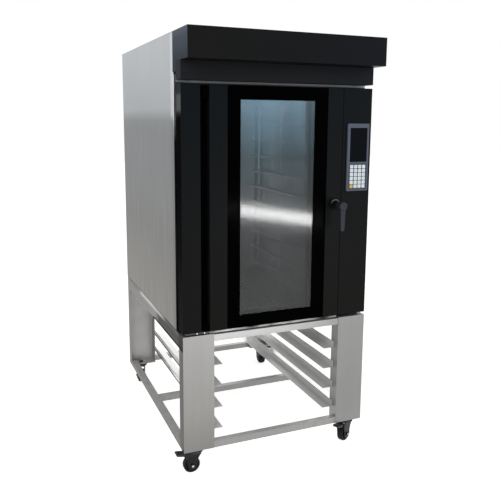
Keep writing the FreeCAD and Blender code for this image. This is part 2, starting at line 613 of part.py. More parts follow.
def caster_wheel():
    # Tyre, dished web and hub turned in one profile
    r, h, hub = wheel_d / 2.0, wheel_w / 2.0, cheek_out - cheek_t - 1.5
    bore = axle_d / 2.0 + run_fit
    half = [(bore, 0), (bore, hub), (12, hub), (13.5, 6), (26, 5), (28, h), (r - 3, h), (r, h - 4), (r, 0)]
    outline = half + [(a, -b) for a, b in reversed(half[1:-1])]
    wire = Part.makePolygon([V(trail + a, b, r) for a, b in outline + outline[:1]])
    return Part.Face(wire).revolve(V(trail, 0, r), V(0, 1, 0), 360)


def caster_brake():
    # Wedge-shaped foot lever with a pivot hub and a cam shoe over the tread
    x, z, tip, half = brake_x, brake_z, brake_tip, cheek_out - cheek_t - 1.5
    hub = rod_y(x, z, 13, -half, half)
    plate = prism([(x + 2, z + 2), (x + 8, z + 7), (tip - 6, z + 13), (tip, z + 10), (tip - 3, z + 3),
                   (x + 14, z - 5), (x + 4, z - 4)], -half, half)
    shoe = prism([(x - 6, z - 4), (x + 6, z - 4), (x + 3, z - 15.4), (x + 0.1, z - 15.8),
                  (x - 2.6, z - 15.4)], -12, 12)
    return join([hub, plate, shoe]).cut(rod_y(x, z, brake_pin + 2 * run_fit, -30, 30))


os.makedirs("parts", exist_ok=True)

save("chassis", chassis())
save("side_panels", [side_panel(-1), side_panel(1)])
save("back_panel", back_panel())
save("top_panel", top_panel())
save("hood", hood())
save("fascia", fascia())
save("left_front_panel", left_front_panel())
save("control_panel", control_panel())
save("chamber_liner", chamber_liner())
save("insulation", insulation())
save("tray_racks", tray_rack(-1) + tray_rack(1))
save("fan_baffle", fan_baffle())
save("heater_elements", [heater(z) for z in fan_z])
save("fan_motors", [fan_motor(z) for z in fan_z])
save("fan_lower", fan(fan_z[0]))
save("fan_upper", fan(fan_z[1]))

save("door_frame", door_frame())
save("door_glass", door_glass())
save("door_seal", seal_ring(seal_y0, panel_deep - rub_gap))
save("door_fittings", door_fittings())
save("handle_rose", handle_rose())
save("handle_lever", handle_lever())

save("controller_bezel", controller_bezel())
save("display", display())
for key_name, (kx, kz) in key_spots().items():
    save(key_name, key(kx, kz))

save("stand_frame", stand_frame())
save("stand_runners", [runner(s, i) for s in (-1, 1) for i in range(runner_count)])
for corner, spot in caster_spots.items():
    braked = corner.startswith("front")
    save("caster_fork_" + corner, place(caster_fork(braked), spot))
    save("caster_wheel_" + corner, place(caster_wheel(), spot))
    if braked:
        save("caster_brake_" + corner, place(caster_brake(), spot))
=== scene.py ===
import json
import math

import bmesh
import bpy
from mathutils import Matrix, Vector

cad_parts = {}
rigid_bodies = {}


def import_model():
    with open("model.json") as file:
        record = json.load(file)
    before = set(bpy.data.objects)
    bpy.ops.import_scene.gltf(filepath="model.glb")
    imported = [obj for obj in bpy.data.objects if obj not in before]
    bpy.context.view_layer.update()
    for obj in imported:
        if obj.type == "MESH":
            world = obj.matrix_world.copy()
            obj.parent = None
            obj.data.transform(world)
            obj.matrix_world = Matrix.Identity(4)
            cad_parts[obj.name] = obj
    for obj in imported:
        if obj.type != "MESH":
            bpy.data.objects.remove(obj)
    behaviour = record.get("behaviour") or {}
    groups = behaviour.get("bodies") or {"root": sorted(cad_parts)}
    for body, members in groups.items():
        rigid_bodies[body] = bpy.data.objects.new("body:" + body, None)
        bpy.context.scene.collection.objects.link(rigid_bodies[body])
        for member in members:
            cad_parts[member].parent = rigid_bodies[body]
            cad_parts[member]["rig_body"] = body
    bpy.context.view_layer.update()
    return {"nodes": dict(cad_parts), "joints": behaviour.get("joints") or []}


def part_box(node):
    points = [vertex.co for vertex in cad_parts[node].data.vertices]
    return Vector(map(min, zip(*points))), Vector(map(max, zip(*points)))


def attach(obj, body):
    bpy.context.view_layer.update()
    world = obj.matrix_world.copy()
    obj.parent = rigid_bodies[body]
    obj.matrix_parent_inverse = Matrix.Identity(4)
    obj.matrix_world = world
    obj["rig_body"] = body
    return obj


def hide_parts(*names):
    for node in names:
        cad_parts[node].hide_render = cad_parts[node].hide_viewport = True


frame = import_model()
nodes = frame["nodes"]
print("frame loaded:", len(nodes), "CAD pieces")


# finishes

def shaderOf(finish):
    return finish.node_tree.nodes["Principled BSDF"]


def newFinish(name, color, metallic=0.0, roughness=0.5, specular=0.5, alpha=1.0):
    finish = bpy.data.materials.new(name)
    finish.use_nodes = True
    shader = shaderOf(finish)
    shader.inputs["Base Color"].default_value = (*color, 1.0)
    shader.inputs["Metallic"].default_value = metallic
    shader.inputs["Roughness"].default_value = roughness
    shader.inputs["Specular IOR Level"].default_value = specular
    shader.inputs["Alpha"].default_value = alpha
    return finish


def addNode(finish, kind, **settings):
    node = finish.node_tree.nodes.new(kind)
    for key, value in settings.items():
        setattr(node, key, value)
    return node


def wire(finish, out, into):
    finish.node_tree.links.new(out, into)


def objectNoise(finish, stretch, scale, detail=3.0):
    # noise on the piece's own coordinates, drawn out along an axis for brushing
    coords = addNode(finish, "ShaderNodeTexCoord")
    mapping = addNode(finish, "ShaderNodeMapping")
    mapping.inputs["Scale"].default_value = stretch
    noise = addNode(finish, "ShaderNodeTexNoise")
    noise.inputs["Scale"].default_value = scale
    noise.inputs["Detail"].default_value = detail
    wire(finish, coords.outputs["Object"], mapping.inputs["Vector"])
    wire(finish, mapping.outputs["Vector"], noise.inputs["Vector"])
    return noise.outputs["Fac"]


noiseMiddle = (0.3, 0.7)  # most of a noise lies in here


def spread(finish, value, low, high):
    # the middle of a noise, widened to a range
    span = addNode(finish, "ShaderNodeMapRange")
    span.inputs["From Min"].default_value, span.inputs["From Max"].default_value = noiseMiddle
    span.inputs["To Min"].default_value = low
    span.inputs["To Max"].default_value = high
    wire(finish, value, span.inputs["Value"])
    return span.outputs["Result"]


def mixColors(finish, factor, first, second, blend="MIX"):
    mix = addNode(finish, "ShaderNodeMix", data_type="RGBA", blend_type=blend)
    for socket, value in (("Factor", factor), ("A", first), ("B", second)):
        into = next(s for s in mix.inputs if s.name == socket and s.enabled)
        if isinstance(value, bpy.types.NodeSocket):
            wire(finish, value, into)
        elif socket == "Factor":
            into.default_value = value
        else:
            into.default_value = (*value, 1.0)
    return next(s for s in mix.outputs if s.enabled)


def multiply(finish, first, second):
    return mixColors(finish, 1.0, first, second, "MULTIPLY")


def addBump(finish, value, depth, strength):
    bump = addNode(finish, "ShaderNodeBump")
    bump.inputs["Strength"].default_value = strength
    bump.inputs["Distance"].default_value = depth
    wire(finish, value, bump.inputs["Height"])
    wire(finish, bump.outputs["Normal"], shaderOf(finish).inputs["Normal"])


def axisRamp(finish, stops, axis="Z"):
    # colour by the place along an axis, in metres
    low, high = stops[0][0], stops[-1][0]
    coords = addNode(finish, "ShaderNodeTexCoord")
    split = addNode(finish, "ShaderNodeSeparateXYZ")
    span = addNode(finish, "ShaderNodeMapRange")
    span.inputs["From Min"].default_value = low
    span.inputs["From Max"].default_value = high
    ramp = addNode(finish, "ShaderNodeValToRGB")
    wire(finish, coords.outputs["Object"], split.inputs["Vector"])
    wire(finish, split.outputs[axis], span.inputs["Value"])
    wire(finish, span.outputs["Result"], ramp.inputs["Fac"])
    bar = ramp.color_ramp
    while len(bar.elements) < len(stops):
        bar.elements.new(1.0)
    for element, (place, color) in zip(bar.elements, stops):
        element.position = (place - low) / (high - low)
        element.color = (*color, 1.0)
    return ramp.outputs["Color"]


# brushing is the noise's scale along X, Y, Z: the smallest is the way the lines run
alongX, alongY, alongZ = (0.04, 1.0, 1.0), (1.0, 0.04, 1.0), (1.0, 1.0, 0.04)
shortX, even = (0.2, 1.0, 1.0), (1.0, 1.0, 1.0)

brush = {
    "lineScale": 60.0, "lineDetail": 4.0, "cloudScale": 2.4, "cloudDetail": 3.0,
    "glossier": 0.07, "duller": 0.09,       # roughness on either side of the set one
    "depth": 0.0002, "strength": 0.12,
}


def brushedSteel(name, tone, brushing, roughness=0.36, grain=0.06, metallic=1.0, axis="Z", edge=1.0,
                 specular=0.5, shine=None):
    # tone is one colour, or a list of stops along the axis; shine is stops for the metal
    ramped = isinstance(tone, list)
    finish = newFinish(name, tone[0][1] if ramped else tone, metallic, roughness, specular)
    inputs = shaderOf(finish).inputs
    lines = objectNoise(finish, brushing, brush["lineScale"], brush["lineDetail"])
    clouds = objectNoise(finish, even, brush["cloudScale"], brush["cloudDetail"])
    base = axisRamp(finish, tone, axis) if ramped else tone
    streaked = multiply(finish, base, spread(finish, lines, 1.0 - grain, 1.0 + grain))
    clouded = multiply(finish, streaked, spread(finish, clouds, 1.0 - grain, 1.0 + grain / 2))
    gloss = spread(finish, lines, roughness - brush["glossier"], roughness + brush["duller"])
    wire(finish, clouded, inputs["Base Color"])
    wire(finish, gloss, inputs["Roughness"])
    inputs["Specular Tint"].default_value = (edge, edge, edge, 1.0)
    if shine:
        wire(finish, axisRamp(finish, shine, axis), inputs["Metallic"])
    addBump(finish, lines, brush["depth"], brush["strength"])
    return finish


coat = {
    "cloudDetail": 3.0, "skinDetail": 2.0,
    "secondTone": 1.25,                     # times the first, where none is given
    "rampClouds": 0.06,                     # how far clouds change a tone with stops
    "glossier": 0.06, "duller": 0.08, "strength": 0.1,
}


def coated(name, tone, roughness, specular, tint=None, metallic=0.0, clouds=3.0, peel=420.0, depth=0.0003,
           axis="Z"):
    # paint, moulded plastic or rubber: cloudy tone, uneven gloss and a fine skin
    ramped = isinstance(tone, list)
    finish = newFinish(name, tone[0][1] if ramped else tone, metallic, roughness, specular)
    inputs = shaderOf(finish).inputs
    broad = objectNoise(finish, even, clouds, coat["cloudDetail"])
    skin = objectNoise(finish, even, peel, coat["skinDetail"])
    if ramped:
        clouding = spread(finish, broad, 1.0 - coat["rampClouds"], 1.0 + coat["rampClouds"])
        toned = multiply(finish, axisRamp(finish, tone, axis), clouding)
    else:
        other = tint or tuple(coat["secondTone"] * c for c in tone)
        toned = mixColors(finish, spread(finish, broad, 0.0, 1.0), tone, other)
    gloss = spread(finish, broad, roughness - coat["glossier"], roughness + coat["duller"])
    wire(finish, toned, inputs["Base Color"])
    wire(finish, gloss, inputs["Roughness"])
    addBump(finish, skin, depth, coat["strength"])
    return finish


casingReflectionHeights = [  # satin sheet with a painted reflection, lighter under the top edge
    (0.638, (0.225, 0.219, 0.204)), (0.85, (0.215, 0.211, 0.198)), (1.05, (0.205, 0.205, 0.2)),
    (1.25, (0.22, 0.225, 0.228)), (1.5, (0.25, 0.262, 0.27)), (1.545, (0.275, 0.288, 0.298)),
    (1.6, (0.46, 0.48, 0.497)), (1.908, (0.58, 0.606, 0.633)),
]
edgeHighlightHeights = [  # front edge of the sides: a painted highlight in a band near the top
    (0.638, (0.08, 0.08, 0.08)), (1.46, (0.1, 0.1, 0.1)), (1.52, (0.5, 0.52, 0.53)),
    (1.56, (0.85, 0.87, 0.88)), (1.73, (0.95, 0.96, 0.97)), (1.74, (0.3, 0.3, 0.3)),
]
hemReflectionHeights = [  # front hem of the left side, with a painted reflection lighter towards the top
    (0.638, (0.19, 0.185, 0.172)), (1.05, (0.172, 0.172, 0.168)), (1.5, (0.212, 0.222, 0.23)),
    (1.545, (0.26, 0.272, 0.282)), (1.575, (0.6, 0.62, 0.635)), (1.908, (0.7, 0.728, 0.75)),
]
slotShadeHeights = [  # front plate: painted shade everywhere but the upper half of the slot under the fascia
    (0.638, (0.02, 0.02, 0.021)), (1.7032, (0.02, 0.02, 0.021)), (1.7048, (0.26, 0.27, 0.285)),
    (1.8, (0.26, 0.27, 0.285)),
]
returnHighlightHeights = [  # returns of the left panel: near black, with a painted highlight in a band near the top
    (0.65, (0.02, 0.02, 0.021)), (0.85, (0.015, 0.015, 0.016)), (1.0, (0.008, 0.008, 0.0086)),
    (1.3, (0.0045, 0.0045, 0.005)), (1.56, (0.0055, 0.0055, 0.006)), (1.578, (0.03, 0.03, 0.031)),
    (1.592, (0.108, 0.11, 0.112)), (1.648, (0.112, 0.114, 0.117)), (1.66, (0.04, 0.041, 0.044)),
    (1.7, (0.04, 0.041, 0.044)),
]
cheekReflectionHeights = [  # left cheek of the hood, a painted reflection lighter towards the top
    (1.745, (0.043, 0.05, 0.055)), (1.8, (0.048, 0.055, 0.07)), (1.835, (0.064, 0.076, 0.097)),
    (1.87, (0.074, 0.085, 0.107)), (1.9, (0.11, 0.123, 0.153)),
]
hoodReflectionWidths = [  # hood, a painted reflection: darker and bluer towards the right
    (-0.46, (0.0068, 0.0066, 0.0064)), (0.0, (0.0048, 0.0056, 0.0062)), (0.46, (0.002, 0.0032, 0.0062)),
]
frontReflectionHeights = [  # front lacquer, a painted reflection: bluer and darker towards the top
    (0.65, (0.0064, 0.0062, 0.0058)), (1.0, (0.0056, 0.006, 0.0058)), (1.3, (0.0042, 0.0054, 0.0062)),
    (1.7, (0.0036, 0.0054, 0.0068)),
]
forkHighlightHeights = [  # caster forks, a painted highlight on the housing at the top
    (0.0, (0.003, 0.003, 0.0032)), (0.078, (0.004, 0.004, 0.0042)), (0.092, (0.016, 0.016, 0.0165)),
    (0.1, (0.05, 0.05, 0.051)), (0.108, (0.03, 0.03, 0.031)),
]
leftLegLightHeights = [  # front left leg, painted light: lighter towards the top
    (0.108, (0.215, 0.208, 0.196)), (0.3, (0.265, 0.26, 0.25)), (0.5, (0.3, 0.296, 0.288)),
    (0.638, (0.325, 0.32, 0.314)),
]
rightLegShadeHeights = [  # front right leg, painted shade: darker than the left leg
    (0.108, (0.235, 0.234, 0.232)), (0.25, (0.218, 0.217, 0.213)), (0.638, (0.232, 0.232, 0.23)),
]
railFrontLightWidths = [  # front rail, painted light on the left
    (-0.3, (0.5, 0.498, 0.495)), (0.0, (0.42, 0.418, 0.415)), (0.2, (0.34, 0.338, 0.335)),
    (0.33, (0.25, 0.248, 0.244)),
]
railShadeLengths = [  # side rails, painted shade darker towards the front
    (-0.52, (0.01, 0.0098, 0.009)), (-0.46, (0.014, 0.0138, 0.0128)), (-0.44, (0.06, 0.059, 0.055)),
    (-0.12, (0.05, 0.049, 0.047)), (-0.04, (0.29, 0.286, 0.285)), (0.62, (0.26, 0.255, 0.245)),
]
railHighlightLengths = [  # top strip of the left rail, a painted highlight in the middle
    (-0.52, (0.01, 0.0098, 0.009)), (-0.46, (0.014, 0.0138, 0.0128)), (-0.44, (0.09, 0.089, 0.083)),
    (-0.25, (0.08, 0.078, 0.073)), (-0.16, (0.38, 0.372, 0.36)), (0.05, (0.57, 0.563, 0.548)),
    (0.26, (0.54, 0.533, 0.52)), (0.32, (0.22, 0.213, 0.205)), (0.62, (0.25, 0.243, 0.235)),
]
ledgeLightLengths = [  # left runners, painted light: near white towards the back, grey towards the front
    (-0.2, (0.5, 0.495, 0.485)), (0.05, (0.6, 0.595, 0.585)), (0.2, (0.9, 0.898, 0.89)),
    (0.6, (0.97, 0.968, 0.96)),
]
shelfLightLengths = [  # top right runner, painted light, lighter under the middle of the oven
    (-0.5, (0.54, 0.537, 0.525)), (-0.35, (0.58, 0.577, 0.563)), (-0.2, (0.84, 0.837, 0.816)),
    (0.0, (0.98, 0.977, 0.955)),
]
secondShelfLightLengths = [  # second right runner, painted light towards the back
    (-0.5, (0.48, 0.478, 0.465)), (-0.35, (0.54, 0.537, 0.523)), (-0.2, (0.79, 0.787, 0.768)),
    (0.0, (0.97, 0.967, 0.945)),
]
thirdShelfLightLengths = [  # third right runner, painted light towards the back
    (-0.5, (0.43, 0.428, 0.417)), (-0.3, (0.55, 0.547, 0.534)), (-0.1, (0.75, 0.747, 0.733)),
    (0.1, (0.98, 0.978, 0.97)),
]
lowShelfLightLengths = [  # lowest right runner, painted light towards the back
    (-0.5, (0.41, 0.409, 0.4)), (-0.4, (0.47, 0.468, 0.456)), (-0.25, (0.54, 0.538, 0.526)),
    (-0.05, (0.72, 0.718, 0.708)), (0.1, (0.68, 0.678, 0.672)), (0.3, (0.82, 0.82, 0.818)),
    (0.6, (1.0, 1.0, 1.0)),
]
lowUprightLightLengths = [  # its upright, painted light towards the back
    (-0.5, (0.45, 0.448, 0.437)), (-0.25, (0.57, 0.567, 0.555)), (0.1, (0.85, 0.848, 0.84)),
]
thirdShine = [(0.1, (0.1, 0.1, 0.1)), (0.3, (1.0, 1.0, 1.0))]      # matt in front, polished behind
lowShine = [(-0.15, (0.1, 0.1, 0.1)), (0.1, (1.0, 1.0, 1.0))]

# steel: name, tone, brushing, roughness, grain, metal; coat: name, tone, roughness, gloss, second tone
finishSet = {
    # casing and chamber
    "casing": brushedSteel("casing brushed steel", casingReflectionHeights, alongZ, 0.38, 0.045, edge=0.7),
    "casingPlain": brushedSteel("plain brushed steel", (0.36, 0.367, 0.37), alongZ, 0.36, 0.06, edge=0.8),
    "casingFlange": brushedSteel("casing front hem", hemReflectionHeights, alongZ, 0.38, 0.045, edge=0.7),
    "casingEdge": brushedSteel("casing front edge", edgeHighlightHeights, alongZ, 0.3, 0.04),
    "frameSteel": brushedSteel("front plate steel", slotShadeHeights, alongX, 0.45, 0.05, 0.8),
    "base": brushedSteel("base steel", (0.5, 0.505, 0.5), alongY, 0.5, 0.06, 0.5),
    # gutter: strong noise along X paints broken highlights
    "trim": brushedSteel("gutter steel, painted broken highlights", (0.27, 0.27, 0.266), shortX, 0.3, 0.95, 0.8),
    "liner": brushedSteel("chamber steel", (0.5, 0.51, 0.52), alongZ, 0.34, 0.06),
    "rack": brushedSteel("rack steel", (0.66, 0.67, 0.68), alongY, 0.28, 0.04),
    "fan": brushedSteel("fan aluminium", (0.62, 0.63, 0.64), even, 0.4, 0.06),
    "element": brushedSteel("heating element", (0.11, 0.1, 0.095), even, 0.5, 0.12),
    "wool": coated("mineral wool", (0.62, 0.56, 0.38), 0.95, 0.1, clouds=40.0, depth=0.002),
    "motor": coated("motor grey", (0.12, 0.135, 0.15), 0.5, 0.4, metallic=0.3),
    # stand
    "stand": brushedSteel("stand brushed steel", (0.285, 0.281, 0.274), alongZ, 0.42, 0.06, 0.75),
    # darker copies of the stand steel for its sides: painted shade
    "standSide": brushedSteel("stand steel, sides", (0.2, 0.197, 0.19), alongZ, 0.46, 0.06, 0.75, edge=0.7),
    "legSide": brushedSteel("front leg steel, side", (0.12, 0.118, 0.113), alongZ, 0.46, 0.06, 0.75,
                            edge=0.6),
    "legLeft": brushedSteel("left leg steel", leftLegLightHeights, alongZ, 0.42, 0.05, 0.75),
    "legRight": brushedSteel("right leg steel", rightLegShadeHeights, alongZ, 0.42, 0.05, 0.75),
    # lighter copy for the rear leg webs: painted light
    "rearWeb": brushedSteel("rear leg steel", (0.4, 0.394, 0.384), alongZ, 0.4, 0.06, 0.75),
    "railFront": brushedSteel("front rail steel", railFrontLightWidths, alongX, 0.4, 0.05, 0.75, axis="X"),
    # near black band along the rail's lower edge: painted shadow
    "railLine": coated("rail lower edge, painted shadow", (0.006, 0.006, 0.0058), 0.6, 0.05, clouds=9.0),
    "rail": brushedSteel("shaded rail steel", railShadeLengths, alongY, 0.5, 0.05, 0.75, axis="Y", edge=0.6),
    "railStrip": brushedSteel("rail top strip", railHighlightLengths, alongY, 0.5, 0.05, 0.75, axis="Y", edge=0.6),
    # near white copy of the steel on the far low tubes: painted bright reflection
    "tubeBright": brushedSteel("tube steel, painted bright reflection", (0.96, 0.958, 0.95), alongY, 0.22, 0.03),
    # lighter copy on the tops of the low tubes: painted light
    "tubeTop": brushedSteel("tube steel, painted light on top", (0.62, 0.615, 0.6), alongX, 0.38, 0.06, 0.75),
    # tray runners
    "runner": brushedSteel("runner steel", (0.36, 0.356, 0.345), alongY, 0.42, 0.05, 0.75),
    # dark band along the left runners' lower edges: painted shadow
    "runnerLine": brushedSteel("runner lower edge, painted shadow", (0.1, 0.099, 0.096), alongY, 0.5, 0.05, 0.5, edge=0.6),
    "ledge": brushedSteel("ledge steel, painted light", ledgeLightLengths, alongY, 0.24, 0.03, axis="Y"),
    # lighter copy on the front ends of the left runners: painted light
    "ledgeFront": brushedSteel("front ends of the runners", (0.74, 0.736, 0.72), alongY, 0.45, 0.05, 0.1),
    "shelf": brushedSteel("top right runner", shelfLightLengths, alongY, 0.45, 0.04, 0.1, axis="Y"),
    "shelfSecond": brushedSteel("second right runner", secondShelfLightLengths, alongY, 0.45, 0.04, 0.1, axis="Y"),
    "shelfThird": brushedSteel("third right runner", thirdShelfLightLengths, alongY, 0.45, 0.04, axis="Y",
                               shine=thirdShine),
    "shelfLow": brushedSteel("lowest right runner", lowShelfLightLengths, alongY, 0.36, 0.04, axis="Y",
                             shine=lowShine),
    "lowUpright": brushedSteel("lowest right upright", lowUprightLightLengths, alongY, 0.45, 0.04, 0.1, axis="Y"),
    # black front
    "hood": coated("hood black lacquer", hoodReflectionWidths, 0.34, 0.06, axis="X"),
    "hoodSide": brushedSteel("hood cheek lacquer", cheekReflectionHeights, alongZ, 0.5, 0.03, 0.0, specular=0.005),
    "front": coated("front black lacquer", frontReflectionHeights, 0.44, 0.045),
    # greyer, duller copy of the front lacquer for the returns: painted shading in place of gloss
    "frontSide": coated("front lacquer, returns", (0.02, 0.021, 0.025), 0.5, 0.015, (0.017, 0.019, 0.024)),
    # lighter copy of the front lacquer: painted light against the shade under the hood
    "fascia": coated("fascia black lacquer", (0.0115, 0.012, 0.0128), 0.44, 0.045, (0.0098, 0.0118, 0.015)),
    "returnSide": brushedSteel("left return", returnHighlightHeights, alongZ, 0.6, 0.05, 0.0, specular=0.0),
    "print": coated("black printed glass", (0.0004, 0.0004, 0.00045), 0.16, 0.004),
    # fittings
    "fitting": coated("hinge post black and painted gap shade", (0.0006, 0.0006, 0.0007), 0.7, 0.005),
    "hingePlate": coated("hinge plate steel", (0.06, 0.061, 0.064), 0.45, 0.3, metallic=0.5, clouds=30.0),
    "seal": coated("door gasket rubber", (0.025, 0.025, 0.025), 0.75, 0.3, clouds=9.0, depth=0.001),
    "handle": coated("handle slate", (0.0105, 0.0135, 0.0185), 0.42, 0.2, (0.0135, 0.017, 0.0235),
                     clouds=20.0),
    "rose": coated("handle rose black", (0.0025, 0.0026, 0.003), 0.4, 0.06, clouds=20.0),
    "bolt": brushedSteel("bright bolt", (0.74, 0.75, 0.76), even, 0.24, 0.03),
    "axleBolt": brushedSteel("axle bolt", (0.4, 0.415, 0.415), even, 0.3, 0.05),
    # controller
    "bezel": coated("keypad housing slate", (0.062, 0.076, 0.106), 0.5, 0.22, (0.074, 0.09, 0.122),
                    clouds=12.0),
    "screen": coated("dark screen", (0.0035, 0.0042, 0.0055), 0.16, 0.015, (0.0042, 0.0055, 0.008),
                     clouds=8.0),
    "keyWhite": coated("key off-white", (0.6, 0.665, 0.7), 0.5, 0.3, (0.66, 0.72, 0.74), clouds=30.0),
    "keyAmber": coated("key amber", (0.56, 0.37, 0.065), 0.5, 0.3, (0.6, 0.41, 0.09), clouds=30.0),
    "keyMark": coated("key mark grey", (0.17, 0.2, 0.24), 0.6, 0.2),
    # casters
    "caster": coated("caster black steel", forkHighlightHeights, 0.38, 0.2, clouds=25.0),
    "wheel": coated("wheel rubber", (0.006, 0.006, 0.0063), 0.62, 0.16, (0.009, 0.0089, 0.0086), clouds=30.0),
    "pedal": coated("pedal plastic", (0.008, 0.008, 0.009), 0.45, 0.35, clouds=30.0),
}
print("finishes:", len(finishSet))


# CAD pieces: finish, face by face paint and eased edges

cadFinish = {
    "chassis": "frameSteel", "side_panels": "casing", "back_panel": "casingPlain", "top_panel": "casingPlain",
    "hood": "hood", "fascia": "fascia", "left_front_panel": "front", "control_panel": "front",
    "chamber_liner": "liner", "insulation": "wool", "tray_racks": "rack", "fan_baffle": "liner",
    "heater_elements": "element", "fan_motors": "motor", "fan_lower": "fan", "fan_upper": "fan",
    "door_frame": "front", "door_seal": "seal", "door_fittings": "fitting",
    "handle_rose": "rose", "handle_lever": "handle", "controller_bezel": "bezel", "display": "screen",
    "stand_frame": "stand", "stand_runners": "runner",
}
byStart = {"caster_fork": "caster", "caster_wheel": "wheel", "caster_brake": "pedal", "key_": "keyWhite"}
for name in nodes:
    for start, finishName in byStart.items():
        if name.startswith(start):
            cadFinish[name] = finishName
cadFinish["key_r6_c1"] = "keyAmber"

for name, finishName in cadFinish.items():
    mesh = nodes[name].data
    mesh.materials.clear()
    mesh.materials.append(finishSet[finishName])

doorLow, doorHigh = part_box("door_frame")
standLow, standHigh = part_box("stand_frame")
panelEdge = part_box("left_front_panel")[1].x
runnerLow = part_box("stand_runners")[0].z
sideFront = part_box("side_panels")[0].y
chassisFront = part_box("chassis")[0].y

paint = {  # where the finishes of a piece part, in metres
    "facing": 0.9,            # a face looks along an axis from this much of its normal
    "skin": 0.002,            # outermost faces lie this close to the piece's box
    "touch": 0.001,           # play at the door's own edges
    "railBand": 0.068,        # side rails under the oven, with the tops of the legs, get painted shade
    "railLine": 0.012,        # painted shadow along the lower edge of the left rail, in front of the middle
    "railStrip": 0.02,        # its painted highlight along the top
    "legDepth": 0.061, "legWidth": 0.142, "legSheet": 0.005,
    "rearWeb": 0.01,          # webs of the rear legs, from the back, get painted light
    "tube": 0.032,            # bottom tubes of the stand
    "tubeFrom": 0.38,         # from here out the low tubes on the right get a painted bright reflection
    "tubeBehind": -0.4,
    # runnerLine is the height of the painted shadow along each left runner's lower edge
    "runnerPitch": 0.1, "runnerLine": 0.01, "runners": 4,
    "ledgeFrom": -0.2,        # from here back the left runners get painted light
    "hem": 0.045,             # front hem of the side panels, which carries a painted reflection
    "gutter": 0.03,           # depth of the drip gutter
    "doorBack": 0.028,        # from here back the door is bare steel
    "hingeStile": 0.03,       # left part of the door that stays black behind
    "hingeEar": 0.038,        # hinge ears reach this far past the left panel
}
railLow = standHigh.z - paint["railBand"]
railLineTop = railLow + paint["railLine"]
railStripLow = standHigh.z - paint["railStrip"]
tubeTop = standLow.z + paint["tube"]


# tests for a face with its middle at c and its normal n

def looksLeft(c, n):
    return n.x < -paint["facing"]


def looksFront(c, n):
    return n.y < -paint["facing"]


def looksAside(c, n):
    return abs(n.x) > paint["facing"]


def looksUp(c, n):
    return n.z > paint["facing"]


def onRightSide(c, n):
    return c.x > 0


def onSideRail(c, n):
    outside = c.x < standLow.x + paint["skin"] or c.x > standHigh.x - paint["skin"]
    return looksAside(c, n) and outside and c.z > railLow


def onRailLine(c, n):
    return onSideRail(c, n) and c.x < 0 and c.y < 0 and c.z < railLineTop


def onRailStrip(c, n):
    return onSideRail(c, n) and c.x < 0 and c.z > railStripLow


def onFarTube(c, n):
    # low tubes past the right runners: tops, inner sides and fronts
    turned = looksLeft(c, n) or looksFront(c, n) or looksUp(c, n)
    return turned and c.x > paint["tubeFrom"] and c.y > paint["tubeBehind"] and c.z < tubeTop


def onTubeTop(c, n):
    return looksUp(c, n) and c.z < tubeTop


def onRearWeb(c, n):
    return looksFront(c, n) and c.y > standHigh.y - paint["rearWeb"]


def onStandSide(c, n):
    return looksLeft(c, n) and c.x < standLow.x + paint["skin"]


def onFrontLegSide(c, n):
    return onStandSide(c, n) and c.y < standLow.y + paint["legDepth"] and c.z > tubeTop


def onStandFront(c, n):
    return looksFront(c, n) and c.y < standLow.y + paint["legSheet"] and c.z > tubeTop


def onLeftLeg(c, n):
    return onStandFront(c, n) and c.x < standLow.x + paint["legWidth"]


def onRightLeg(c, n):
    return onStandFront(c, n) and c.x > standHigh.x - paint["legWidth"]


def onLeftRunner(c, n):
    return c.x < 0 and c.y > paint["ledgeFrom"] and (looksUp(c, n) or looksLeft(c, n))


def onRunnerLine(c, n):
    height = (c.z - runnerLow) % paint["runnerPitch"]
    return onLeftRunner(c, n) and looksLeft(c, n) and height < paint["runnerLine"]


def onLedgeFront(c, n):
    return c.x < 0 and c.y < paint["ledgeFrom"] and looksUp(c, n)


def onShelf(c, n):
    return c.x > 0 and (looksLeft(c, n) or looksUp(c, n))


def underRunner(c, number):
    # lower than a runner, where the lowest is 0
    return c.z < runnerLow + number * paint["runnerPitch"] - paint["runnerLine"]


def onSecondShelf(c, n):
    return onShelf(c, n) and underRunner(c, 3)


def onThirdShelf(c, n):
    return onShelf(c, n) and underRunner(c, 2)


def onLowShelf(c, n):
    return onShelf(c, n) and underRunner(c, 1)


def onLowUpright(c, n):
    return onLowShelf(c, n) and looksLeft(c, n)


def onFrontHem(c, n):
    return looksLeft(c, n) and c.x < 0 and c.y < sideFront + paint["hem"]


def onGutter(c, n):
    return c.y < chassisFront + paint["gutter"] and c.z < doorLow.z


def onBaseUnderside(c, n):
    return n.z < -paint["facing"] and c.z < doorLow.z


def onHingeEar(c, n):
    return c.x < panelEdge + paint["hingeEar"] and not n.y > paint["facing"]


def onDoorEnd(c, n):
    return n.x > paint["facing"] and c.x > doorHigh.x - paint["touch"]


def onDoorBack(c, n):
    between = doorLow.x + paint["hingeStile"] < c.x < doorHigh.x - paint["skin"]
    return between and c.y > doorLow.y + paint["doorBack"]


def onHingePlate(c, n):
    return c.z < doorLow.z + paint["touch"]


